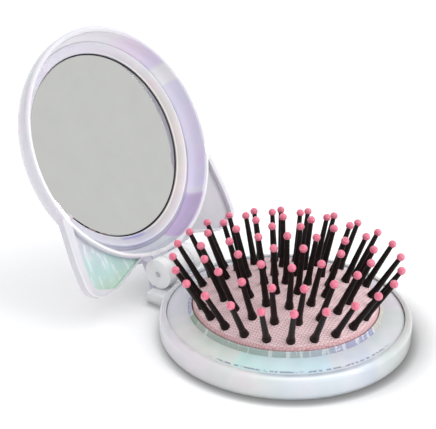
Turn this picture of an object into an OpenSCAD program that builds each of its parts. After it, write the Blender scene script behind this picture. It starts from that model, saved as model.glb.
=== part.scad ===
// Round folding pocket hairbrush with a mirror in its lid.
// The case stands on the XY plane with the base's centre at the origin and the
// hinge on the +Y side. The lid is drawn open, leaning back on its stop.

/* [Base] */
// Outer diameter of the round base
base_d = 85; // [78:1:92]
// Height of the base's outer band
base_h = 8.4; // [7.6:0.1:9.4]
// Width of the outer band, out to in, where it meets the bezel
band_w = 2.4; // [2:0.1:3]
// Rounding of the band's upper and lower edges
band_round = 1.7; // [1.1:0.1:1.9]
// Thickness of the base's floor
base_floor = 1.6; // [1.2:0.1:2.2]
// Radial width of the ledge that the cushion's flange sits on
ledge_w = 2.4; // [2:0.1:3]
// Height of that ledge above the table
ledge_z = 5; // [4.2:0.1:5.4]

/* [Bezel] */
// Height of the raised lip round the cushion, above the table
bezel_lip_z = 11.2; // [10.9:0.1:11.4]
// Width of that lip at its top
bezel_lip_w = 0.5; // [0.4:0.1:0.7]
// Height of the bezel's ring where the lip's cove runs into it
bezel_crest_z = 9.5; // [9.2:0.1:9.8]
// Distance from the cushion's skirt out to the cove's end
bezel_cove_w = 1.8; // [1.5:0.1:2.2]
// Thickness of the bezel
bezel_t = 1.4; // [1:0.1:1.8]
// Depth of the parting groove between the bezel and the band
groove_depth = 0.5; // [0.3:0.1:0.8]

/* [Cushion] */
// Outer diameter of the cushion's dome
pad_d = 62.4; // [60:0.2:63]
// Thickness of the rubber
pad_t = 1.2; // [0.9:0.1:1.5]
// Radius of the sphere that the dome follows
dome_r = 82; // [72:1:95]
// Height of the dome's top above the table
dome_top = 18.1; // [17.4:0.1:18.8]
// Rounding where the dome turns down into its skirt
pad_round = 1.6; // [1.3:0.1:2]

/* [Pins] */
// Radial step from one ring of pins to the next
ring_step = 7.12; // [6.8:0.02:7.2]
// Lean of the outermost pins away from upright, in degrees
outer_lean = 31.4; // [26:0.2:32]
// Length of a pin from the rubber to the middle of its ball
pin_len = 17.5; // [15:0.1:18]
// Diameter of a pin just above its flared foot
pin_d = 2.2; // [1.8:0.1:2.4]
// Diameter of a pin where it enters its ball
pin_tip_d = 1.6; // [1.3:0.1:1.7]
// Diameter of the flared foot
foot_d = 3.1; // [2.8:0.1:3.3]
// Height of the flared foot
foot_h = 3; // [2:0.1:4]
// Diameter of the neck that passes through the rubber
neck_d = 1.5; // [1.2:0.1:1.7]
// Diameter of the flat head under the rubber
head_d = 3; // [2.4:0.1:3.2]
// Thickness of the flat head
head_t = 0.5; // [0.4:0.1:0.8]
// Diameter of the ball on each pin
ball_d = 2.7; // [2.4:0.1:2.9]

/* [Lid] */
// Angle of the opened lid above the table, in degrees
lid_angle = 63; // [55:1:75]
// Depth of the lid's tray from its lip to its back
lid_depth = 12.8; // [12:0.1:14]
// Thickness of the tray's side wall
lid_wall = 2; // [1.6:0.1:2.4]
// Thickness of the tray's back
lid_back = 1.6; // [1.2:0.1:2]
// Height of the lip over the plane of the hinge axis
lip_rise = 0.8; // [0.4:0.1:1]
// Radius of the tray's side, which curves in towards its back
lid_back_round = 11; // [10:0.1:11.6]

/* [Ears] */
// Distance of an ear's outer side inside the case's outer edge
ear_inset = 0.9; // [0.4:0.1:3]
// Distance from the hinge axis to the ears' lower edge, along the lid
ear_low = 2.6; // [2.2:0.1:4]
// Radius of the ear's outer corner
ear_corner_r = 6.5; // [5:0.1:8]
// Radius of the ear's side where it bulges most
ear_side_r = 8; // [7:0.1:9]
// Radius of the bend in the ear's lower edge
ear_low_r = 5; // [4:0.1:6]
// Width of the flat lower edge of an ear
ear_flat_w = 5; // [4:0.5:8]
// Thickness of an ear from its lip to its back
ear_t = 4.2; // [3.4:0.1:5]
// Depth of the recess in an ear
ear_recess = 1.8; // [1:0.1:2.2]
// Width of the lip along an ear's side
ear_lip_w = 2.6; // [2:0.1:3]
// Width of the lip along an ear's lower edge
ear_low_lip_w = 0.9; // [0.8:0.1:1.6]
// Rounding of the ear's edges
ear_round = 1; // [0.6:0.1:1.4]

/* [Mirror] */
// Distance from the glass's edge out to the tray's wall
mirror_margin = 6.6; // [6.2:0.1:8]
// Distance of the glass's middle past the tray's middle, away from the hinge
mirror_rise = 0.9; // [0:0.1:1.2]
// Thickness of the mirror glass
mirror_t = 1; // [0.8:0.1:1.4]
// Width of the ground bevel round the glass
mirror_bevel = 0.6; // [0.3:0.1:0.9]
// Thickness of the foam tape behind the glass
tape_t = 0.7; // [0.7:0.1:0.8]
// Distance from the glass's edge out to the frame's crest
frame_crest_w = 3.5; // [2.8:0.1:4.2]
// Height of the frame's crest over the glass
frame_crest_h = 2.3; // [1.6:0.1:2.8]

/* [Hinge] */
// Diameter of the hinge knuckles
knuckle_d = 11; // [9.4:0.2:11.4]
// Length of the whole barrel, over the two outer knuckles
barrel_w = 18; // [16:0.5:22]
// Length of the middle knuckle
mid_knuckle_w = 9.6; // [8:0.2:11]
// Diameter of the hinge pin
hinge_pin_d = 2; // [1.6:0.1:2.4]
// Height of the hinge axis above the table
hinge_z = 9.9; // [9.7:0.1:10.6]
// Width of the lug under the barrel
lug_w = 26; // [22:1:32]
// Reach of the lug past the hinge axis
lug_reach = 1.9; // [1.4:0.1:2.6]

/* [Fits] */
// Gap between the lid's moving pieces and the base's
hinge_gap = 0.25; // [0.2:0.01:0.4]
// Radial clearance of the hinge pin in the lid's knuckles
pin_clear = 0.05; // [0.02:0.01:0.08]
// Gap between pieces that are pushed into one another
fit_gap = 0.1; // [0.05:0.01:0.15]
// Gap between the bezel and the cushion's skirt
seat_gap = 0.3; // [0.3:0.01:0.4]
// Gap between a pin's foot or head and the rubber, where they come closest
pin_gap = 0.1; // [0.08:0.01:0.15]

/* [Hidden] */
$fn = 96;

plastic = "lavender";
bezel_colour = "lightcyan";
rubber = "pink";
pin_colour = "#201c1c";
ball_colour = "#d9708c";
steel = "silver";

// Base
base_r = base_d / 2;
groove_r = base_r - band_w;
pad_r = pad_d / 2;
// The opening's wall stands this far inside the cushion's skirt
opening_inset = 0.2;
opening_r = pad_r - opening_inset;
ledge_r = opening_r + ledge_w;
bezel_in_r = pad_r + seat_gap;
crest_r = pad_r + bezel_cove_w;
bezel_out_r = groove_r - fit_gap;
// Radius of the bezel's outer edge, rounding of its lip, and rise of its ring
// over the straight line from the cove to that edge
bezel_edge = 0.5;
lip_edge = 0.2;
bezel_bulge = 0.3;

// Cushion
// The flange reaches this far past the ledge
flange_over = 0.8;
flange_r = ledge_r + flange_over;
flange_top = ledge_z + pad_t;
shoulder_r = pad_r - pad_round;
// Share of the shoulder's rounding that lies under the dome's face
shoulder_sink = 0.98;
shoulder_z = dome_z(shoulder_r) - pad_round * shoulder_sink;

// Pins: one in the middle, then rings of 6, 12, 18 and 24
ring_counts = [1, 6, 12, 18, 24];
// Angle of the first pin of each ring
ring_turns = [0, 5.8, 7.6, 3.9, 6.6];
outer_ring = 4;
mid_ring = 3;
inner_ring = 2;
outer_groups = 8;
mid_groups = 6;
ball_r = ball_d / 2;
// A pin ends this far short of the middle of its ball
ball_sink = 0.7;
// Clearance on the diameter of pieces that are pressed together
press_clear = 0.02;
// Depth and width of the chamfer at the ball's socket, from the ball's outer end
socket_flare = 0.5;
// Angle between an outermost pin and the dome's normal at its foot
seat_tilt = outer_lean - asin(ring_r(outer_ring) / dome_r);
foot_gap = pin_gap + max(foot_d, head_d) / 2 * tan(seat_tilt);
under_head = pad_t / cos(seat_tilt) + foot_gap;
// Height and inset of the foot's cylindrical edge, and the width left at its neck
foot_edge_h = 0.5;
foot_edge_in = 0.1;
foot_neck = 0.2;
// Share of the foot's height where its cone ends
foot_cone = 0.7;

// Hinge and lid
knuckle_r = knuckle_d / 2;
hinge_y = base_r + knuckle_r + hinge_gap;
lid_r = base_r;
lid_s = hinge_y;
lip_n = lip_rise;
back_n = lip_n - lid_depth;
floor_n = back_n + lid_back;
tray_r = lid_r - lid_wall;
cove_r = lid_back_round - lid_wall;
lip_round = lid_wall / 2;
lug_top = hinge_z - knuckle_r - hinge_gap;
lug_end = hinge_y + lug_reach;
outer_knuckle_x = mid_knuckle_w / 2 + hinge_gap;
// Thickness of the heels that meet the lug's end, and their depth below its top
heel_t = 1.8;
heel_drop = 2;
// Heights of the arm's lower and upper face over the hinge axis
arm_low = lip_n - knuckle_r - 1;
arm_high = lip_n - 0.4;

// Ears
ear_half_w = lid_r - ear_inset;
// Where the lower edge of an ear runs into the tray, as a share of its radius
ear_root_share = 0.34;
// Distance along the lid from an ear's lower edge to where its side bulges most
ear_side_rise = 13.4;
// The ear's side comes in by this much from there to the tray
ear_side_in = 2.3;
// Radius of the ear where it runs into the tray
ear_end_r = ear_round + 0.1;
// The ear is carried on this far into the tray's wall
ear_overlap = 4;

// Mirror
mirror_r = tray_r - mirror_margin;
mirror_s = lid_s + mirror_rise;
glass_low = floor_n + tape_t;
glass_n = glass_low + mirror_t;
frame_in_r = mirror_r + fit_gap;
// The foam tape ends where the tray's floor starts to curve
tape_r = tray_r - cove_r - mirror_rise - fit_gap;
// Width of the frame's rounded crest and the drop at its edges
crest_round = 0.5;
crest_drop = 0.15;

// Height of the dome's outer face at radius r
function dome_z(r) = dome_top - dome_r + sqrt(dome_r * dome_r - r * r);
function ring_r(k) = k * ring_step;
function pin_lean(k) = outer_lean * k / outer_ring;

// Puts its children in the lid's own frame: origin on the hinge axis, Y along
// the lid and Z out of the mirror
module lid_frame() {
    translate([0, hinge_y, hinge_z]) rotate([lid_angle, 0, 0]) children();
}

module both_sides() {
    children();
    mirror([1, 0, 0]) children();
}

// Flat outline from r1 to r2 and z1 to z2, for turned pieces
module band(r1, r2, z1, z2) {
    translate([r1, z1]) square([r2 - r1, z2 - z1]);
}

// ---- Base -------------------------------------------------------------

// Section of the outer band: a wall whose outer edges are rounded
module outer_band_section() {
    band(groove_r, base_r - band_round, 0, base_h);
    band(groove_r, base_r, band_round, base_h - band_round);
    intersection() {
        band(groove_r, base_r, 0, base_h);
        for (z = [band_round, base_h - band_round]) translate([base_r - band_round, z]) circle(band_round);
    }
}

module base_ring() {
    rotate_extrude(convexity = 4) {
        outer_band_section();
        band(opening_r, base_r - band_round, 0, base_floor);
        band(opening_r, ledge_r, 0, ledge_z);
    }
}

// Lug outside the band that carries the middle knuckle and stops the lid
module hinge_lug() {
    difference() {
        union() {
            translate([-lug_w / 2, 0, 0]) cube([lug_w, lug_end, lug_top]);
            rotate([90, 0, 90]) translate([0, 0, -mid_knuckle_w / 2])
                linear_extrude(mid_knuckle_w) {
                    translate([hinge_y, hinge_z]) circle(knuckle_r);
                    translate([base_r - band_w, 0])
                        square([hinge_y - base_r + band_w, hinge_z - knuckle_r / 2]);
                    translate([hinge_y - knuckle_r / 2, 0]) square([knuckle_r, hinge_z]);
                }
        }
        translate([0, 0, -1]) cylinder(r = base_r - band_w / 2, h = hinge_z + knuckle_r);
        translate([-lug_w, hinge_y, hinge_z]) rotate([0, 90, 0])
            cylinder(d = hinge_pin_d + press_clear, h = 2 * lug_w);
    }
}

module base_shell() {
    color(plastic) {
        base_ring();
        hinge_lug();
    }
}

// Section of the bezel: a raised lip, a cove and a sloping ring, on two skirts
module bezel_section() {
    out_z = base_h - groove_depth;
    lip_r = bezel_in_r + bezel_lip_w;
    ring_end = bezel_out_r - bezel_edge;
    polygon(concat(
        [[bezel_in_r, flange_top + fit_gap], [bezel_in_r, bezel_lip_z - lip_edge],
         [bezel_in_r + lip_edge, bezel_lip_z], [lip_r - lip_edge, bezel_lip_z]],
        [for (a = [0 : 15 : 90]) [crest_r - (crest_r - lip_r) * cos(a),
            bezel_lip_z - lip_edge - (bezel_lip_z - lip_edge - bezel_crest_z) * sin(a)]],
        [for (t = [0.15 : 0.17 : 0.9]) [crest_r + (ring_end - crest_r) * t,
            bezel_crest_z + (out_z - bezel_crest_z) * t + 4 * bezel_bulge * t * (1 - t)]],
        [for (a = [90 : -30 : 0]) [ring_end + bezel_edge * cos(a), out_z - bezel_edge + bezel_edge * sin(a)]],
        [[bezel_out_r, base_floor], [bezel_out_r - bezel_t, base_floor],
         [bezel_out_r - bezel_t, out_z - bezel_t], [crest_r, bezel_crest_z - bezel_t],
         [bezel_in_r + bezel_t, bezel_crest_z - bezel_t], [bezel_in_r + bezel_t, flange_top + fit_gap]]));
}

module bezel_ring() {
    color(bezel_colour) rotate_extrude(convexity = 4) bezel_section();
}

module hinge_pin() {
    color(steel) translate([-barrel_w / 2, hinge_y, hinge_z]) rotate([0, 90, 0])
        cylinder(d = hinge_pin_d, h = barrel_w);
}

// ---- Cushion ----------------------------------------------------------

// Section between the axis and the dome's face, grown inward by t
module dome_section(t) {
    round_r = pad_round - t;
    intersection() {
        translate([0, dome_top - dome_r]) circle(dome_r - t, $fn = 360);
        band(0, shoulder_r, flange_top, dome_top);
    }
    band(0, pad_r - t, ledge_z - 1, shoulder_z);
    translate([shoulder_r, shoulder_z]) circle(round_r);
}

module cushion() {
    color(rubber) difference() {
        rotate_extrude(convexity = 4) {
            difference() {
                dome_section(0);
                dome_section(pad_t);
                band(0, pad_r + 1, ledge_z - 2, ledge_z);
            }
            band(pad_r - pad_t, flange_r, ledge_z, flange_top);
        }
        for (k = [0 : outer_ring]) pin_ring(k)
            translate([0, 0, -3 * pad_t]) cylinder(d = neck_d + fit_gap, h = 6 * pad_t, $fn = 32);
    }
}

// ---- Pins -------------------------------------------------------------

// Puts its children at pin i of ring k, with Z along the pin
module at_pin(k, i) {
    rotate([0, 0, ring_turns[k] + i * 360 / ring_counts[k]])
        translate([ring_r(k), 0, dome_z(ring_r(k))]) rotate([0, pin_lean(k), 0]) children();
}

// Children at the pins of ring k, or at n of them from pin first
module pin_ring(k, first = 0, n = 0) {
    for (i = [0 : (n > 0 ? n : ring_counts[k]) - 1]) at_pin(k, first + i) children();
}

// One pin: head under the rubber, neck, flared foot and tapered shaft
module pin() {
    rotate_extrude($fn = 32) polygon([
        [0, -under_head - head_t], [head_d / 2, -under_head - head_t],
        [head_d / 2, -under_head], [neck_d / 2, -under_head],
        [neck_d / 2, foot_gap], [foot_d / 2, foot_gap],
        [foot_d / 2 - foot_edge_in, foot_gap + foot_edge_h],
        [pin_d / 2 + foot_neck, foot_h * foot_cone], [pin_d / 2, foot_h],
        [pin_tip_d / 2, pin_len - ball_sink], [0, pin_len - ball_sink]]);
}

// The ball on a pin's end, with the flared socket that the end is pushed into
module tip_ball() {
    socket_d = pin_tip_d + press_clear;
    difference() {
        translate([0, 0, pin_len]) sphere(r = ball_r, $fn = 48);
        translate([0, 0, pin_len - ball_r - 1]) cylinder(d = socket_d, h = ball_r + 1 - ball_sink, $fn = 32);
        translate([0, 0, pin_len - ball_r])
            cylinder(d1 = socket_d + 2 * socket_flare, d2 = socket_d, h = socket_flare, $fn = 32);
    }
}

module centre_pins() {
    color(pin_colour) for (k = [0, 1]) pin_ring(k) pin();
}

module centre_tips() {
    color(ball_colour) for (k = [0, 1]) pin_ring(k) tip_ball();
}

module inner_pins() {
    color(pin_colour) pin_ring(inner_ring) pin();
}

module inner_tips() {
    color(ball_colour) pin_ring(inner_ring) tip_ball();
}

// Group g of a ring that is cut into equal groups of neighbouring pins
module pin_group(k, groups, g) {
    n = ring_counts[k] / groups;
    pin_ring(k, (g - 1) * n - floor(n / 2), n) children();
}

module mid_pins(g) {
    color(pin_colour) pin_group(mid_ring, mid_groups, g) pin();
}

module mid_tips(g) {
    color(ball_colour) pin_group(mid_ring, mid_groups, g) tip_ball();
}

module outer_pins(g) {
    color(pin_colour) pin_group(outer_ring, outer_groups, g) pin();
}

module outer_tips(g) {
    color(ball_colour) pin_group(outer_ring, outer_groups, g) tip_ball();
}

// ---- Lid --------------------------------------------------------------

// Half section of a bowl of radius r, down to low, whose side curves in by r_low
module bowl_section(r, low, r_low, high) {
    band(0, r - r_low, low, high);
    band(0, r, low + r_low, high);
    translate([r - r_low, low + r_low]) circle(r_low, $fn = 192);
}

// Space inside the tray, drawn in by g all round
module cavity_section(g = 0) {
    intersection() {
        bowl_section(tray_r - g, floor_n, cove_r - g, lip_n + 1);
        band(0, tray_r - g, floor_n, lip_n + 1);
    }
}

// Half section of the whole tray: a bowl with a rounded lip
module tray_section() {
    intersection() {
        bowl_section(lid_r, back_n, lid_back_round, lip_n - lip_round);
        band(0, lid_r, back_n, lip_n - lip_round);
    }
    translate([tray_r + lip_round, lip_n - lip_round]) circle(lip_round);
}

// Centres of the ear's outer corner, of the bend in its lower edge, of its bulging
// side, and of the two places where it runs into the tray
corner_p = [ear_half_w - ear_corner_r, ear_low + ear_corner_r];
low_p = [corner_p.x - ear_flat_w, ear_low + ear_low_r];
side_p = [ear_half_w - ear_side_r, ear_low + ear_side_rise];
root_p = [lid_r * ear_root_share, on_tray(lid_r * ear_root_share)];
top_p = [ear_half_w - ear_side_in - ear_end_r, on_tray(ear_half_w - ear_side_in - ear_end_r)];
// Direction of the ear's sloping edge, from the tray out to the ear's low point
slope = (low_p - root_p) / norm(low_p - root_p);

// Distance along the lid to the tray's rim on the hinge's side, at x
function on_tray(x) = lid_s - sqrt(pow(lid_r - ear_round, 2) - x * x);

// Upright disc of radius r with rounded upper and lower edges
module rounded_disc(p, r, facets) {
    translate([p.x, p.y, lip_n - ear_t]) rotate_extrude($fn = facets) {
        band(0, r - ear_round, 0, ear_t);
        band(0, r, ear_round, ear_t - ear_round);
        for (z = [ear_round, ear_t - ear_round])
            intersection() {
                translate([r - ear_round, z]) circle(ear_round, $fn = 24);
                band(0, r, 0, ear_t);
            }
    }
}

// Recess inside the ear's lip, open towards the tray
module ear_pocket() {
    translate([0, 0, lip_n - ear_recess]) linear_extrude(ear_t) hull() {
        translate(corner_p) circle(ear_corner_r - ear_lip_w, $fn = 48);
        translate(side_p) circle(ear_side_r - ear_lip_w, $fn = 48);
        translate(low_p) circle(ear_low_r - ear_low_lip_w, $fn = 48);
        translate(root_p - ear_overlap * slope) circle(ear_end_r - ear_low_lip_w, $fn = 12);
        translate(top_p + [-ear_lip_w, ear_overlap]) circle(ear_end_r, $fn = 12);
        translate([0, lid_s]) circle(ear_end_r, $fn = 12);
    }
}

module ear() {
    difference() {
        hull() {
            rounded_disc(corner_p, ear_corner_r, 48);
            rounded_disc(side_p, ear_side_r, 64);
            rounded_disc(low_p, ear_low_r, 48);
            rounded_disc(root_p - ear_overlap * slope, ear_end_r, 12);
            rounded_disc(top_p + [0, ear_overlap], ear_end_r, 12);
        }
        ear_pocket();
    }
}

// Outline of the plate between the tray and the barrel, with its two gussets
module arm_outline() {
    arm_x = barrel_w / 2;
    polygon([[-arm_x, 0], [arm_x, 0], [arm_x, knuckle_r * 0.6], [root_p.x + 1, root_p.y],
             [0, lid_s], [-root_p.x - 1, root_p.y], [-arm_x, knuckle_r * 0.6]]);
}

// Section of the heel that meets the lug's end when the lid is open, around the
// hinge axis with the table below
module heel_section() {
    front = lug_end + hinge_gap - hinge_y;
    low = lug_top - heel_drop - hinge_z;
    polygon([[front, low], [front + heel_t, low], [knuckle_r * 0.9, 0], [0, 0],
             [front, lug_top + hinge_gap - hinge_z]]);
}

// Outer knuckle with its arm and heel, on the +X side
module lid_knuckle() {
    translate([outer_knuckle_x, 0, 0]) rotate([90, 0, 90])
        linear_extrude(barrel_w / 2 - outer_knuckle_x) {
            circle(knuckle_r);
            translate([0, -knuckle_r]) square([1.5 * knuckle_r, knuckle_r + lip_n]);
            rotate(-lid_angle) heel_section();
        }
}

// Everything of the lid that lies outside its recess, in the lid's own frame
module lid_body() {
    difference() {
        union() {
            translate([0, lid_s, 0]) rotate_extrude(convexity = 4) tray_section();
            both_sides() ear();
            both_sides() lid_knuckle();
            translate([0, 0, arm_low]) linear_extrude(arm_high - arm_low) difference() {
                arm_outline();
                square([2 * barrel_w, 2 * (knuckle_r + hinge_gap)], center = true);
            }
        }
        translate([0, lid_s, 0]) rotate_extrude() cavity_section();
    }
}

module lid_shell() {
    color(plastic) lid_frame() difference() {
        lid_body();
        rotate([0, 90, 0]) {
            cylinder(d = hinge_pin_d + 2 * pin_clear, h = 2 * barrel_w, center = true);
            cylinder(r = knuckle_r + hinge_gap, h = 2 * outer_knuckle_x, center = true);
        }
    }
}

// Section of the frame round the glass, from its inner edge over its rounded crest
// to the tray's wall
module frame_section() {
    crest = glass_n + frame_crest_h;
    crest_x = mirror_r + frame_crest_w;
    polygon([[frame_in_r, floor_n], [lid_r, floor_n], [lid_r, crest - 2 * crest_round],
             [crest_x + 2 * crest_round, crest - crest_round],
             [crest_x + crest_round, crest - crest_drop], [crest_x, crest],
             [crest_x - crest_round, crest - crest_drop],
             [frame_in_r + crest_round / 2, glass_n + crest_round],
             [frame_in_r, glass_n + crest_round / 2]]);
}

module mirror_frame() {
    color(plastic) lid_frame() intersection() {
        translate([0, mirror_s, 0]) rotate_extrude() frame_section();
        translate([0, lid_s, 0]) rotate_extrude() cavity_section(fit_gap);
    }
}

module mirror_glass() {
    color(steel) lid_frame() translate([0, mirror_s, 0]) rotate_extrude() polygon([
        [0, glass_low], [mirror_r, glass_low], [mirror_r, glass_n - mirror_bevel / 2],
        [mirror_r - mirror_bevel, glass_n], [0, glass_n]]);
}

module mirror_tape() {
    color("gray") lid_frame() translate([0, mirror_s, floor_n])
        cylinder(r = tape_r, h = tape_t);
}

base_shell();
bezel_ring();
cushion();
hinge_pin();
lid_shell();
mirror_frame();
mirror_glass();
mirror_tape();
centre_pins();
centre_tips();
inner_pins();
inner_tips();
for (g = [1 : mid_groups]) {
    mid_pins(g);
    mid_tips(g);
}
for (g = [1 : outer_groups]) {
    outer_pins(g);
    outer_tips(g);
}
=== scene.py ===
"""Round folding pocket hairbrush with a mirror in its lid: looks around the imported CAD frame."""
import math

import bmesh
import bpy
from mathutils import Matrix, Vector


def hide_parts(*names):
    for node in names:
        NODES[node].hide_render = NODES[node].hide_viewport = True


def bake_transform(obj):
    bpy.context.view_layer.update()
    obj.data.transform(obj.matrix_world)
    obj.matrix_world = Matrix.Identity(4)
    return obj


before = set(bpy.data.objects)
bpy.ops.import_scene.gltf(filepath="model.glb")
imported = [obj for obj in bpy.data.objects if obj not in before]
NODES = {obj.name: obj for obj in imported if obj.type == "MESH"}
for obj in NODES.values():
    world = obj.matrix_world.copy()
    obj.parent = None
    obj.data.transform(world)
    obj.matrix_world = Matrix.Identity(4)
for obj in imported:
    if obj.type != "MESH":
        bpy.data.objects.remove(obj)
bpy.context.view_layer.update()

MM = 0.001

# ---- Measures, in millimetres ------------------------------------------------
# The hinge axis and the opened lid's own frame: origin on the axis, Y along the lid
HINGE_Y, HINGE_Z = 48.25, 9.9
LID_ANGLE = math.radians(63)
LID_S = HINGE_Y
LID_FRAME = Matrix.Translation(Vector((0, HINGE_Y, HINGE_Z))) @ Matrix.Rotation(LID_ANGLE, 4, "X")
LID_NORMAL = (0, -math.sin(LID_ANGLE), math.cos(LID_ANGLE))
LID_UP = (0, math.cos(LID_ANGLE), math.sin(LID_ANGLE))
# The middle of the mirror along the lid, and the radius of its glass
MIRROR_S = LID_S + 0.9
MIRROR_R = 33.9

# Cushion: radius and thickness of the rubber, its dome and the points along it, its flange, and its rings as
# (pins, angle of the first pin)
PAD_R = 31.2
PAD_T = 1.2
DOME_R = 82.0
DOME_TOP = 18.1
PAD_ROUND = 1.6
DOME_STEP, DOME_STEPS = 0.55, 53
LEDGE_Z = 5.0
FLANGE_R = 34.2
RING_STEP = 7.12
RINGS = ((1, 0.0), (6, 5.8), (12, 7.6), (18, 3.9), (24, 6.6))
# Collar of rubber round each pin's foot and the dip outside it: radius, height and width
COLLAR = (1.6, 0.22, 0.5)
DIP = (3.0, -0.12, 0.8)
WEAVE_PITCH, WEAVE_TURN = 0.72, math.radians(38)

# ---- Camera ------------------------------------------------------------------
IMAGE_W = 436
FOCAL_PX = 1040.52
CAM_AZIMUTH, CAM_ELEVATION, CAM_ROLL = (math.radians(a) for a in (-53.29, 24.54, 0.08))
CAM_DISTANCE = 354.87
CAM_SIDE, CAM_RISE = -22.65, 39.41


def make_camera():
    """The camera at the photograph's angle, aimed past the base's centre by its side step and rise."""
    a, e, r = CAM_AZIMUTH, CAM_ELEVATION, CAM_ROLL
    back = Vector((math.sin(a) * math.cos(e), -math.cos(a) * math.cos(e), math.sin(e)))
    level = Vector((math.cos(a), math.sin(a), 0))
    upright = back.cross(level)
    right = level * math.cos(r) + upright * math.sin(r)
    up = upright * math.cos(r) - level * math.sin(r)
    data = bpy.data.cameras.new("camera")
    data.sensor_width = 36
    data.lens = FOCAL_PX / IMAGE_W * data.sensor_width
    data.clip_start, data.clip_end = 0.01, 20
    cam = bpy.data.objects.new("camera", data)
    cam.matrix_world = Matrix((right, up, back)).transposed().to_4x4()
    cam.location = (back * CAM_DISTANCE + right * CAM_SIDE + up * CAM_RISE) * MM
    bpy.context.scene.collection.objects.link(cam)
    bpy.context.scene.camera = cam


# ---- Light, in metres and watts ----------------------------------------------
ROOM_LIGHT = 0.8
SUN_FROM, SUN_POWER, SUN_WIDTH = (0.42, -0.5, 0.72), 1.05, 60
# Lamps that draw the crisp highlights: name, place, power, width and height
LAMPS = (("strip", (0.05, -0.66, 0.24), 0.7, 0.035, 0.4),
         ("spark", (0.35, -0.2, 0.6), 0.16, 0.03, 0.03))
LAMP_AIM = (0, 0.02, 0.03)
# How much the floor glows to whatever looks at it, so that its far parts are white
FLOOR_GLOW = 0.2
# Painted shadow on the floor, darkened into its colour by ambient occlusion: deep where something stands and softer
# under what hangs low, as (reach, where its light comes from, shades by the share of that light that arrives)
PAINTED_FLOOR_SHADOWS = (
    (0.0036, (0.6, 0.62, 0.5),
     [(0.4, (128, 128, 129)), (0.62, (186, 186, 187)), (0.82, (232, 232, 232)), (1.0, (255, 255, 255))]),
    (0.024, (-0.45, 0.45, 0.77),
     [(0.25, (96, 96, 97)), (0.6, (190, 190, 191)), (0.92, (255, 255, 255))]))


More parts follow.
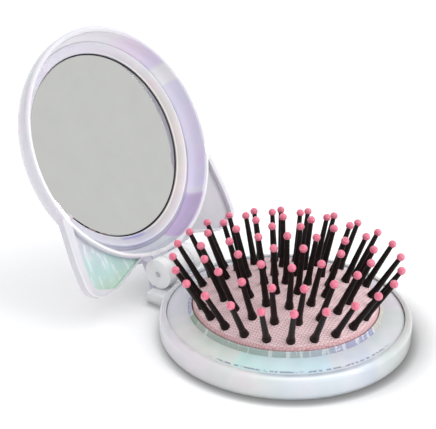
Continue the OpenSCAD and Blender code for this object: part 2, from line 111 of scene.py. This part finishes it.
# ---- Node helpers ------------------------------------------------------------
class Shader:
    """A material under construction: short calls that add nodes and link them."""

    def __init__(self, name):
        self.material = bpy.data.materials.new(name)
        self.material.use_nodes = True
        self.tree = self.material.node_tree
        self.tree.nodes.clear()
        self.out = self.tree.nodes.new("ShaderNodeOutputMaterial")

    def node(self, kind, **settings):
        made = self.tree.nodes.new("ShaderNode" + kind)
        for key, value in settings.items():
            setattr(made, key, value)
        return made

    def put(self, socket, value):
        if isinstance(value, bpy.types.NodeSocket):
            self.tree.links.new(value, socket)
        elif value is not None:
            socket.default_value = value

    def math(self, operation, a, b=None, clamp=False):
        made = self.node("Math", operation=operation, use_clamp=clamp)
        self.put(made.inputs[0], a)
        self.put(made.inputs[1], b)
        return made.outputs[0]

    def mix(self, share, a, b, blend="MIX"):
        made = self.node("Mix", data_type="RGBA", blend_type=blend)
        self.put(made.inputs[0], share)
        self.put(made.inputs[6], colour(a))
        self.put(made.inputs[7], colour(b))
        return made.outputs[2]

    def ramp(self, value, stops):
        made = self.node("ValToRGB")
        made.color_ramp.elements[0].position = stops[0][0]
        made.color_ramp.elements[0].color = colour(stops[0][1])
        made.color_ramp.elements[1].position = stops[-1][0]
        made.color_ramp.elements[1].color = colour(stops[-1][1])
        for place, value_there in stops[1:-1]:
            made.color_ramp.elements.new(place).color = colour(value_there)
        self.put(made.inputs[0], value)
        return made.outputs[0]

    def step(self, value, low, high):
        """0 below low, 1 above high and a smooth run between."""
        made = self.node("MapRange", interpolation_type="SMOOTHSTEP")
        self.put(made.inputs[0], value)
        self.put(made.inputs[1], low)
        self.put(made.inputs[2], high)
        return made.outputs[0]

    def fall(self, value, low, high):
        """1 below low, 0 above high and a smooth run between."""
        return self.math("SUBTRACT", 1.0, self.step(value, low, high))

    def product(self, *masks):
        result = masks[0]
        for mask in masks[1:]:
            result = self.math("MULTIPLY", result, mask)
        return result

    def between(self, value, rise, fall):
        """1 between two soft edges, each given as (start, end), and 0 outside them."""
        return self.product(self.step(value, *rise), self.fall(value, *fall))

    def place(self, matrix=None):
        """The surface's point in the row frame at rest, in millimetres, or in the frame that matrix sets up."""
        coords = self.node("TexCoord").outputs["Object"]
        scale = self.node("VectorMath", operation="SCALE")
        self.put(scale.inputs[0], coords)
        self.put(scale.inputs["Scale"], 1 / MM)
        if matrix is None:
            return scale.outputs[0]
        turned = self.node("Mapping", vector_type="TEXTURE")
        self.put(turned.inputs["Vector"], scale.outputs[0])
        turned.inputs["Location"].default_value = matrix.to_translation()
        turned.inputs["Rotation"].default_value = matrix.to_euler()
        return turned.outputs[0]

    def facing(self, direction):
        """Cosine between the surface's normal at rest and a direction."""
        made = self.node("VectorMath", operation="DOT_PRODUCT")
        self.put(made.inputs[0], self.node("TexCoord").outputs["Normal"])
        made.inputs[1].default_value = direction
        return made.outputs["Value"]

    def noise(self, vector, scale, detail=2.0, rough=0.5, distortion=0.0):
        made = self.node("TexNoise")
        self.put(made.inputs["Vector"], vector)
        for name, value in (("Scale", scale), ("Detail", detail), ("Roughness", rough),
                            ("Distortion", distortion)):
            made.inputs[name].default_value = value
        return made.outputs["Fac"]

    def split(self, vector):
        made = self.node("SeparateXYZ")
        self.put(made.inputs[0], vector)
        return made.outputs

    def join(self, x=0.0, y=0.0, z=0.0):
        made = self.node("CombineXYZ")
        for socket, value in zip(made.inputs, (x, y, z)):
            self.put(socket, value)
        return made.outputs[0]

    def polar(self, vector, centre=(0, 0)):
        """Radius, turn in degrees from 0 to 360, and height, about an axis along Z."""
        x, y, z = self.split(vector)
        dx, dy = self.math("SUBTRACT", x, centre[0]), self.math("SUBTRACT", y, centre[1])
        radius = self.math("SQRT", self.math("ADD", self.math("MULTIPLY", dx, dx),
                                             self.math("MULTIPLY", dy, dy)))
        turn = self.math("MULTIPLY", self.math("ARCTAN2", dy, dx), 180 / math.pi)
        return radius, self.math("FLOORED_MODULO", turn, 360.0), z

    def bump(self, height, strength, distance):
        made = self.node("Bump")
        made.inputs["Strength"].default_value = strength
        made.inputs["Distance"].default_value = distance
        self.put(made.inputs["Height"], height)
        return made.outputs[0]

    def surface(self, **sockets):
        made = self.node("BsdfPrincipled")
        for name, value in sockets.items():
            self.put(made.inputs[name.replace("_", " ")], colour(value))
        self.tree.links.new(made.outputs[0], self.out.inputs[0])
        return self.material


def colour(value):
    """An sRGB triple from 0 to 255 as linear RGBA; anything else as it is."""
    if isinstance(value, (tuple, list)) and len(value) == 3 and max(value) > 1:
        line = [c / 255 / 12.92 if c / 255 <= 0.04045 else ((c / 255 + 0.055) / 1.055) ** 2.4 for c in value]
        return (*line, 1.0)
    return value


# ---- Materials ---------------------------------------------------------------
PEARL = (222, 218, 225)
WHITE = (255, 255, 255)
PLASTIC_IOR = 1.49
# Faint blue, mint and pink clouds in the pearl
PEARL_CLOUDS = [(0.3, (232, 240, 252)), (0.42, WHITE), (0.52, (240, 252, 248)), (0.6, WHITE), (0.72, (252, 236, 252))]


def turn_ramp(s, turn, stops):
    """Colours round an axis, as (angle in degrees, colour) in rising order; two near angles make a hard edge."""
    return s.ramp(s.math("DIVIDE", turn, 360.0), [(angle / 360, tint) for angle, tint in stops])


def pearl_surface(s, tint, place, rough=0.16, coat=0.5, clouds=0.6):
    """Glossy pearly moulded plastic over a tint: soft clouds, faint flow marks and a little wear."""
    cloud = s.noise(place, 0.05, 2.0, 0.5)
    shade = s.ramp(cloud, PEARL_CLOUDS)
    toned = s.mix(clouds, tint, shade, "MULTIPLY")
    flow = s.noise(place, 0.9, 4.0, 0.6, 0.4)
    roughness = s.math("ADD", s.math("MULTIPLY", flow, 0.12), s.math("SUBTRACT", rough, 0.06))
    return s.surface(Base_Color=toned, Roughness=roughness, IOR=PLASTIC_IOR, Coat_Weight=coat, Coat_Roughness=0.06,
                     Subsurface_Weight=0.5, Subsurface_Radius=(1.0, 0.97, 1.0), Subsurface_Scale=0.0025,
                     Normal=s.bump(flow, 0.05, 0.0002))


# Tints round the inside of the lid, from the side away from the near ear over the top
LID_TURNS = [
    (0, (236, 230, 254)), (20, (238, 232, 255)), (20.6, (250, 248, 255)), (31, (250, 246, 255)),
    (33, (236, 228, 255)), (44, (244, 230, 254)), (56, (250, 234, 254)), (68, (252, 246, 254)), (90, (255, 252, 255)),
    (150, (240, 236, 244)), (200, (232, 228, 240)), (240, (218, 216, 224)), (262, (206, 208, 214)),
    (281.4, (208, 212, 216)), (282, (200, 178, 214)), (313.4, (206, 188, 222)), (314, (232, 226, 244)),
    (318.4, (236, 230, 250)), (319, (234, 226, 255)), (340, (236, 229, 255)), (360, (236, 230, 254))]
# Tints along the near ear, from the hinge axis up the lid
NEAR_EAR = [(0.0, (206, 222, 200)), (5.0, (204, 222, 210)), (9.5, (192, 220, 216)), (15.0, (192, 216, 216)),
            (19.0, (206, 208, 216)), (26.0, (214, 210, 220))]
# How strongly the painted highlight on the lip's crest shows, round the lid
CREST_HIGHLIGHT_TURNS = [(0, (220, 220, 220)), (35, (215, 215, 215)), (60, (110, 110, 110)), (100, (70, 70, 70)),
               (150, (130, 130, 130)), (175, (225, 225, 225)), (240, (225, 225, 225)), (262, (120, 120, 120)),
               (310, (120, 120, 120)), (340, (220, 220, 220)), (360, (220, 220, 220))]
# Soft edges of the lid's areas, as (start, end): radii from the tray's middle, then heights over the hinge's level
COVE_IN, COVE_OUT, TRAY_OUT = (36.0, 36.4), (40.7, 40.9), (42.4, 42.6)
TRAY_FLOOR, EAR_FLOOR, EAR_TOP = (-9.5, -9.0), (-1.3, -1.2), (-0.9, -0.8)
# The arm and its knuckles: half width, and radii from the hinge axis
ARM_HALF, ARM_R, KNUCKLE_R = (13.5, 14.0), (8.6, 9.0), (5.6, 5.8)


def ear_tint(s, x, y, wall):
    """Mint and lilac with pale streaks in the near ear, and plain pearl in the far one."""
    along = NEAR_EAR[-1][0]
    teal = s.ramp(s.math("DIVIDE", y, along), [(at / along, shade) for at, shade in NEAR_EAR])
    streaks = s.noise(s.join(s.math("MULTIPLY", x, 0.9), s.math("MULTIPLY", y, 0.16)), 0.8, 3.0, 0.6, 0.5)
    teal = s.mix(s.math("MULTIPLY", s.step(streaks, 0.52, 0.62), 0.55), teal, (238, 240, 246))
    # Painted shade: the recess's wall along the ear's lower edge, which faces up to the light, is a darker mint
    teal = s.mix(s.math("MULTIPLY", wall, 0.9), teal, (182, 208, 196))
    return s.mix(s.fall(x, -1.0, 1.0), (200, 195, 202), teal)


def lid_material():
    s = Shader("lid_pearl_plastic")
    place = s.place(LID_FRAME)
    x, y, _ = s.split(place)
    radius, turn, height = s.polar(place, (0, LID_S))
    barrel, _, _ = s.polar(s.join(y, height))
    out = s.facing(LID_NORMAL)
    inside = s.product(s.between(radius, COVE_IN, COVE_OUT), s.step(height, *TRAY_FLOOR))
    tint = s.mix(inside, PEARL, turn_ramp(s, turn, LID_TURNS))
    # The recess of an ear: its floor, and the wall along its lower edge
    floor = s.math("SUBTRACT", s.step(out, 0.9, 0.95), s.step(height, *EAR_TOP), clamp=True)
    wall = s.step(s.facing(LID_UP), 0.3, 0.5)
    ear = s.product(s.step(radius, *TRAY_OUT), s.step(height, *EAR_FLOOR), s.math("MAXIMUM", floor, wall))
    tint = s.mix(ear, tint, ear_tint(s, x, y, wall))
    # Painted highlights on the rounded edges: the lip's crest and the ears' outer edges are painted white
    crest = s.product(s.step(out, 0.86, 0.95), s.step(height, 0.4, 0.6), s.fall(radius, 42.2, 42.4),
                      turn_ramp(s, turn, CREST_HIGHLIGHT_TURNS))
    rim = s.product(s.between(out, (0.3, 0.45), (0.65, 0.85)), s.step(radius, 42.6, 42.8), s.step(height, -0.8, -0.5))
    tint = s.mix(s.math("MAXIMUM", crest, s.math("MULTIPLY", rim, 0.6)), tint, WHITE)
    # The arm is greyer, and its knuckles are painted white: painted light on ends that the lamps leave in shade
    middle = s.fall(s.math("ABSOLUTE", x), *ARM_HALF)
    arm = s.product(s.step(radius, 42.0, 42.4), s.math("SUBTRACT", middle, s.step(barrel, *ARM_R), clamp=True))
    tint = s.mix(s.math("MULTIPLY", arm, 0.6), tint, (186, 188, 204))
    tint = s.mix(s.math("SUBTRACT", middle, s.step(barrel, *KNUCKLE_R), clamp=True), tint, WHITE)
    return pearl_surface(s, tint, place, clouds=0.4)


# Tints round the mirror's frame
FRAME_TURNS = [(0, (255, 250, 247)), (40, (252, 250, 252)), (70, (248, 246, 252)), (200, (246, 242, 250)),
               (235, (233, 232, 238)), (262, (214, 212, 226)), (285, (232, 231, 234)), (310, (250, 244, 242)),
               (360, (255, 250, 247))]
# Tints across it from the glass outward, by the share of FRAME_W: a dark line by the glass and white painted
# highlights on the frame's rounded edges; and where round the mirror they show
FRAME_W = 4.0
FRAME_ACROSS = [(0.03, (140, 134, 132)), (0.07, (250, 248, 246)), (0.14, (250, 248, 246)), (0.2, (222, 215, 215)),
                (0.6, (234, 229, 231)), (0.76, (238, 235, 239)), (0.82, WHITE), (0.92, WHITE), (1.0, (210, 207, 224))]
FRAME_SIDES = [(0, WHITE), (50, WHITE), (85, (50, 50, 50)), (225, (50, 50, 50)), (260, WHITE), (360, WHITE)]


def frame_material():
    s = Shader("mirror_frame_plastic")
    place = s.place(LID_FRAME)
    radius, turn, _ = s.polar(place, (0, MIRROR_S))
    # Painted highlights: white lines on the frame's rounded edges, beside a dark line by the glass
    lines = s.ramp(s.math("DIVIDE", s.math("SUBTRACT", radius, MIRROR_R), FRAME_W), FRAME_ACROSS)
    lines = s.mix(turn_ramp(s, turn, FRAME_SIDES), (230, 227, 235), lines)
    tint = s.mix(1.0, turn_ramp(s, turn, FRAME_TURNS), lines, "MULTIPLY")
    # A short violet streak under the mirror
    along = s.between(turn, (248.0, 254.0), (266.0, 272.0))
    across = s.between(radius, (MIRROR_R + 0.4, MIRROR_R + 0.6), (MIRROR_R + 1.2, MIRROR_R + 1.6))
    tint = s.mix(s.math("MULTIPLY", s.product(along, across), 0.8), tint, (150, 148, 198))
    return pearl_surface(s, tint, place, 0.08)


# Tints round the outer band and round the bezel: their colours, with painted shade darkest near 310 degrees, the side
# the sun lights most, and painted light near 130 degrees, the side it leaves in shade; the side towards the camera is
# near 217 degrees
BAND_TURNS = [(0, (206, 203, 206)), (120, (226, 222, 228)), (155, (230, 224, 230)), (180, (234, 228, 232)),
              (200, (234, 234, 232)), (216, (230, 234, 242)), (240, (228, 232, 240)), (265, (208, 211, 211)),
              (290, (193, 191, 189)), (310, (188, 184, 183)), (360, (206, 203, 206))]
BEZEL_TURNS = [(0, (204, 203, 208)), (100, (226, 222, 232)), (130, (234, 229, 240)), (150, (238, 235, 233)),
               (170, (232, 236, 228)), (188.4, (232, 238, 234)), (189, (218, 246, 242)), (206, (220, 244, 248)),
               (235.4, (214, 232, 246)), (236, (226, 228, 236)), (262, (218, 221, 226)), (285, (208, 210, 212)),
               (300, (203, 202, 204)), (360, (204, 203, 208))]
LIP_TURNS = [(0, (216, 210, 206)), (100, (206, 202, 216)), (119, (196, 190, 226)), (138, (192, 190, 222)),
             (139, (170, 190, 166)), (150, (176, 196, 174)), (151, (200, 208, 200)), (188, (188, 206, 196)),
             (215, (190, 208, 206)), (232, (196, 200, 214)), (250, (184, 184, 214)), (274, (182, 180, 216)),
             (275, (220, 212, 204)), (300, (222, 212, 202)), (360, (216, 210, 206))]


def base_material():
    s = Shader("base_pearl_plastic")
    place = s.place()
    radius, turn, height = s.polar(place)
    up = s.facing((0, 0, 1))
    lug = s.step(radius, 42.6, 42.8)
    tint = s.mix(lug, turn_ramp(s, turn, BAND_TURNS), (252, 252, 254))
    # At the front, painted shade and light: the rim's top is painted duller, with a painted dark line of shade by the
    # groove and a painted highlight on the bright rounded edge
    front = s.between(turn, (190.0, 216.0), (236.0, 260.0))
    rim_top_shade = s.product(s.step(up, 0.85, 0.95), front)
    inner = s.product(s.step(height, 8.1, 8.25), s.fall(radius, 41.0, 41.4), front)
    edge = s.product(s.between(up, (0.45, 0.65), (0.8, 0.95)), front)
    tint = s.mix(s.math("MULTIPLY", rim_top_shade, 0.6), tint, (204, 208, 218))
    tint = s.mix(inner, tint, (196, 200, 212))
    tint = s.mix(s.math("MULTIPLY", edge, 0.6), tint, WHITE)
    return pearl_surface(s, tint, place)


def bezel_material():
    """Pearly ring with colour patches, and painted reflections of the pins: pale streaks across its glossy lip and
    short violet marks by the groove.
    """
    s = Shader("bezel_pearl_plastic")
    place = s.place()
    radius, turn, _ = s.polar(place)
    ring = s.step(radius, 32.7, 32.9)
    lip = s.mix(1.0, turn_ramp(s, turn, LIP_TURNS), (232, 232, 234), "MULTIPLY")
    # Painted reflections of the pins: pale streaks across the lip
    streaks = s.noise(s.join(s.math("MULTIPLY", turn, 0.3), s.math("MULTIPLY", radius, 0.12)), 1.0, 2.0, 0.5)
    lip = s.mix(s.math("MULTIPLY", s.step(streaks, 0.54, 0.61), 0.65), lip, (236, 240, 240))
    tint = s.mix(ring, lip, turn_ramp(s, turn, BEZEL_TURNS))
    # Painted reflections of the pins: short violet marks by the groove, at the front
    pin_reflection_dashes = s.noise(s.join(s.math("MULTIPLY", turn, 0.55), radius), 1.0, 1.0, 0.5, 0.3)
    line = s.between(radius, (38.35, 38.5), (38.9, 39.05))
    front = s.between(turn, (172.0, 186.0), (262.0, 276.0))
    painted_pin_reflections = s.product(line, front, s.step(pin_reflection_dashes, 0.43, 0.49))
    tint = s.mix(s.math("MULTIPLY", painted_pin_reflections, 0.75), tint, (128, 128, 158))
    return pearl_surface(s, tint, place, s.math("ADD", s.math("MULTIPLY", ring, 0.26), 0.06), 0.15)


def rubber_material():
    """Pink rubber moulded with a fine basket weave."""
    s = Shader("cushion_rubber")
    place = s.place()
    radius, _, _ = s.polar(place)
    turned = s.node("VectorRotate", rotation_type="Z_AXIS")
    s.put(turned.inputs["Vector"], place)
    turned.inputs["Angle"].default_value = WEAVE_TURN
    u, v, _ = s.split(turned.outputs[0])
    row = s.math("DIVIDE", v, WEAVE_PITCH)
    across = s.math("ADD", s.math("DIVIDE", u, WEAVE_PITCH * 2.0), s.math("MULTIPLY", s.math("FLOOR", row), 0.5))
    weave = s.math("MULTIPLY", s.math("ABSOLUTE", s.math("SINE", s.math("MULTIPLY", row, math.pi))),
                   s.math("ABSOLUTE", s.math("SINE", s.math("MULTIPLY", across, math.pi))))
    worn = s.noise(place, 0.35, 3.0)
    tone = s.ramp(weave, [(0.0, (210, 144, 148)), (0.2, (250, 204, 208)), (0.45, (255, 232, 234)),
                          (1.0, (255, 240, 241))])
    tint = s.mix(s.math("MULTIPLY", worn, 0.3), tone, (252, 218, 221))
    # Painted shade: darker along the rolled edge, where the rubber meets the bezel's lip
    rolled_edge_shade = s.step(radius, PAD_R - 0.8, PAD_R - 0.4)
    tint = s.mix(s.math("MULTIPLY", rolled_edge_shade, 0.55), tint, (190, 130, 134))
    return s.surface(Base_Color=tint, Roughness=0.7, IOR=1.4, Sheen_Weight=0.1, Sheen_Roughness=0.5,
                     Normal=s.bump(weave, 0.7, 0.0002))


def nylon_material():
    s = Shader("pin_nylon")
    place = s.place()
    grain = s.noise(place, 1.6, 3.0)
    tint = s.ramp(grain, [(0.3, (14, 5, 4)), (0.7, (26, 11, 9))])
    return s.surface(Base_Color=tint, Roughness=s.math("ADD", s.math("MULTIPLY", grain, 0.2), 0.3), IOR=1.28,
                     Normal=s.bump(grain, 0.15, 0.0002))


def ball_material():
    s = Shader("pink_ball_plastic")
    place = s.place()
    mottle = s.noise(place, 1.1, 3.0)
    tint = s.ramp(mottle, [(0.3, (224, 108, 136)), (0.55, (240, 128, 154)), (0.75, (250, 154, 174))])
    return s.surface(Base_Color=tint, Roughness=0.32, IOR=PLASTIC_IOR, Coat_Weight=0.25, Coat_Roughness=0.15,
                     Subsurface_Weight=0.15, Subsurface_Radius=(1.0, 0.4, 0.4), Subsurface_Scale=0.0008,
                     Normal=s.bump(mottle, 0.1, 0.0002))


# How dark the thin ring at the glass's edge is, round the glass
EDGE_TURNS = [(0, WHITE), (95, WHITE), (130, (120, 120, 120)), (225, (120, 120, 120)), (255, WHITE), (360, WHITE)]


def mirror_material():
    """Silvered glass: faint dust and haze on a metal face, and a thin dark ring at its edge on the top, right and
    lower sides.
    """
    s = Shader("silvered_mirror")
    place = s.place(LID_FRAME)
    radius, turn, _ = s.polar(place, (0, MIRROR_S))
    haze = s.noise(place, 0.12, 4.0)
    silver = s.ramp(haze, [(0.3, (195, 196, 193)), (0.7, (198, 199, 196))])
    edge = s.math("MULTIPLY", s.step(radius, MIRROR_R - 0.45, MIRROR_R - 0.3), turn_ramp(s, turn, EDGE_TURNS))
    tint = s.mix(edge, silver, (52, 50, 50))
    rough = s.math("ADD", s.math("MULTIPLY", haze, 0.04), 0.05)
    return s.surface(Base_Color=tint, Metallic=1.0, Roughness=rough, Normal=s.bump(haze, 0.01, 0.0001))


def steel_material():
    s = Shader("pin_steel")
    place = s.place()
    x, y, z = s.split(place)
    lines = s.noise(s.join(s.math("MULTIPLY", x, 6.0), y, z), 1.2, 3.0)
    tint = s.ramp(lines, [(0.3, (176, 176, 180)), (0.7, (208, 208, 212))])
    return s.surface(Base_Color=tint, Metallic=1.0, Roughness=s.math("ADD", s.math("MULTIPLY", lines, 0.2), 0.2),
                     Normal=s.bump(lines, 0.1, 0.0001))


def foam_material():
    s = Shader("foam_tape")
    cells = s.noise(s.place(), 3.0, 5.0)
    tint = s.ramp(cells, [(0.35, (84, 84, 86)), (0.65, (120, 120, 124))])
    return s.surface(Base_Color=tint, Roughness=0.9, Normal=s.bump(cells, 0.5, 0.0003))


# ---- Pieces ------------------------------------------------------------------
def smooth(obj):
    for face in obj.data.polygons:
        face.use_smooth = True
    return obj


def piece(name, bm, material):
    mesh = bpy.data.meshes.new(name)
    bm.normal_update()
    bm.to_mesh(mesh)
    bm.free()
    obj = bpy.data.objects.new(name, mesh)
    bpy.context.scene.collection.objects.link(obj)
    mesh.materials.append(material)
    return smooth(obj)


def dome_z(r):
    return DOME_TOP - DOME_R + math.sqrt(DOME_R ** 2 - r ** 2)


def pin_feet():
    """Where the pins stand: (x, y) in millimetres."""
    for k, (count, turn) in enumerate(RINGS):
        for i in range(count):
            a = math.radians(turn + i * 360 / count)
            yield k * RING_STEP * math.cos(a), k * RING_STEP * math.sin(a)


def cushion_outline():
    """Half section of the rubber, from the middle of its outer face, over the rolled edge and down the skirt
    to the flange, then back along the inner face, as (radius, height)."""
    shoulder_r = PAD_R - PAD_ROUND
    shoulder_z = dome_z(shoulder_r) - PAD_ROUND * 0.98
    face = [DOME_STEP * i for i in range(1, DOME_STEPS + 1)]
    outer = [(r, dome_z(r)) for r in face]
    outer += [(shoulder_r + PAD_ROUND * math.sin(a), shoulder_z + PAD_ROUND * math.cos(a))
              for a in (math.radians(9 * i) for i in range(1, 11))]
    outer += [(PAD_R, z) for z in (9.6, 8.2, 7.0)]
    outer += [(PAD_R + 0.25, LEDGE_Z + PAD_T + 0.1), (PAD_R + 0.6, LEDGE_Z + PAD_T),
              (FLANGE_R - 0.3, LEDGE_Z + PAD_T), (FLANGE_R, LEDGE_Z + PAD_T - 0.3), (FLANGE_R, LEDGE_Z + 0.3),
              (FLANGE_R - 0.3, LEDGE_Z), (PAD_R - PAD_T + 0.2, LEDGE_Z), (PAD_R - PAD_T, LEDGE_Z + 0.3)]
    inner = [(PAD_R - PAD_T, z) for z in (7.0, 8.2, 9.6)]
    round_in = PAD_ROUND - PAD_T
    inner += [(shoulder_r + round_in * math.cos(a), shoulder_z + round_in * math.sin(a))
              for a in (math.radians(18 * i) for i in range(0, 6))]
    inner += [(r, DOME_TOP - DOME_R + math.sqrt((DOME_R - PAD_T) ** 2 - r ** 2)) for r in reversed(face)]
    return outer, inner


def make_cushion():
    """The rubber dome, with a low collar pressed round each pin's foot."""
    outer, inner = cushion_outline()
    segments = 240  # round the dome
    feet = list(pin_feet())

    def lifted(x, y, z):
        """The face rises in a low collar round each foot and sinks a little just outside it."""
        near = min(math.hypot(x - fx, y - fy) for fx, fy in feet)
        return z + sum(rise * math.exp(-((near - away) / width) ** 2) for away, rise, width in (COLLAR, DIP))

    bm = bmesh.new()
    rings = []
    for n, (r, z) in enumerate(outer + inner):
        ring = []
        for j in range(segments):
            a = 2 * math.pi * j / segments
            x, y = r * math.cos(a), r * math.sin(a)
            height = lifted(x, y, z) if r < PAD_R - PAD_ROUND and n < len(outer) else z
            ring.append(bm.verts.new((x * MM, y * MM, height * MM)))
        rings.append(ring)
    for a, b in zip(rings, rings[1:]):
        for j in range(segments):
            bm.faces.new((a[j], b[j], b[j - 1], a[j - 1]))
    for ring, z, flip in ((rings[0], lifted(0, 0, DOME_TOP), False), (rings[-1], DOME_TOP - PAD_T, True)):
        top = bm.verts.new((0, 0, z * MM))
        for j in range(segments):
            corners = (top, ring[j - 1], ring[j])
            bm.faces.new(corners[::-1] if not flip else corners)
    bmesh.ops.recalc_face_normals(bm, faces=bm.faces)
    obj = piece("cushion_rubber_dome", bm, rubber_material())
    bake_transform(obj)
    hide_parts("cushion")


def dress_nodes():
    """Every CAD node that stays visible gets its finish."""
    lid, base, bezel = lid_material(), base_material(), bezel_material()
    made = {"lid_shell": lid, "mirror_frame": frame_material(), "base_shell": base, "bezel_ring": bezel,
            "hinge_pin": steel_material(), "mirror_glass": mirror_material(), "mirror_tape": foam_material()}
    nylon, balls = nylon_material(), ball_material()
    for name, node in NODES.items():
        if name in made:
            material = made[name]
        elif "tips" in name:
            material = balls
        elif "pins" in name:
            material = nylon
        else:
            continue
        node.data.materials.clear()
        node.data.materials.append(material)


# ---- Floor and light ---------------------------------------------------------
def make_stage():
    size = 3.0
    bm = bmesh.new()
    bmesh.ops.create_grid(bm, x_segments=1, y_segments=1, size=size / 2)
    s = Shader("studio_floor")
    path = s.node("LightPath")
    seen = s.math("MAXIMUM", path.outputs["Is Camera Ray"],
                  s.math("MAXIMUM", path.outputs["Is Glossy Ray"], path.outputs["Is Transmission Ray"]))
    grain = s.noise(s.place(), 0.02, 2.0)
    tint = s.ramp(grain, [(0.0, (247, 247, 247)), (1.0, (250, 250, 250))])
    for reach, light_from, shades in PAINTED_FLOOR_SHADOWS:
        # Painted shadow: ambient occlusion darkens the floor's colour near the object
        painted_shadow = s.node("AmbientOcclusion", samples=16)
        painted_shadow.inputs["Distance"].default_value = reach
        s.put(painted_shadow.inputs["Normal"], s.join(*light_from))
        tint = s.mix(1.0, tint, s.ramp(painted_shadow.outputs["AO"], shades), "MULTIPLY")
    s.surface(Base_Color=tint, Roughness=0.9, Emission_Color=(1, 1, 1, 1),
              Emission_Strength=s.math("MULTIPLY", seen, FLOOR_GLOW))
    floor = piece("studio_floor", bm, s.material)


def make_light():
    """Level light: a soft white room, a wide sun and two narrow lamps for crisp highlights."""
    world = bpy.data.worlds.new("studio")
    bpy.context.scene.world = world
    world.use_nodes = True
    tree = world.node_tree
    tree.nodes.clear()
    out = tree.nodes.new("ShaderNodeOutputWorld")
    path = tree.nodes.new("ShaderNodeLightPath")
    soft = tree.nodes.new("ShaderNodeBackground")
    soft.inputs["Color"].default_value = (0.97, 0.98, 1.0, 1)
    soft.inputs["Strength"].default_value = ROOM_LIGHT
    white = tree.nodes.new("ShaderNodeBackground")
    white.inputs["Color"].default_value = (1, 1, 1, 1)
    white.inputs["Strength"].default_value = 1.0
    mix = tree.nodes.new("ShaderNodeMixShader")
    tree.links.new(path.outputs["Is Diffuse Ray"], mix.inputs[0])
    tree.links.new(white.outputs[0], mix.inputs[1])
    tree.links.new(soft.outputs[0], mix.inputs[2])
    tree.links.new(mix.outputs[0], out.inputs["Surface"])
    sun = bpy.data.lights.new("sun", "SUN")
    sun.energy, sun.angle, sun.color = SUN_POWER, math.radians(SUN_WIDTH), (1, 0.995, 0.98)
    place_lamp(sun, SUN_FROM).visible_glossy = False
    for name, place, power, width, height in LAMPS:
        lamp = bpy.data.lights.new(name, "AREA")
        lamp.shape, lamp.size, lamp.size_y = "RECTANGLE", width, height
        lamp.energy = power
        place_lamp(lamp, place)


def place_lamp(data, place):
    obj = bpy.data.objects.new(data.name, data)
    bpy.context.scene.collection.objects.link(obj)
    obj.location = place
    aim = Vector(LAMP_AIM) - obj.location
    obj.rotation_mode = "QUATERNION"
    obj.rotation_quaternion = aim.to_track_quat("-Z", "Y")
    return obj


make_camera()
make_stage()
make_light()
dress_nodes()
make_cushion()

bpy.context.scene.view_settings.view_transform = "Standard"
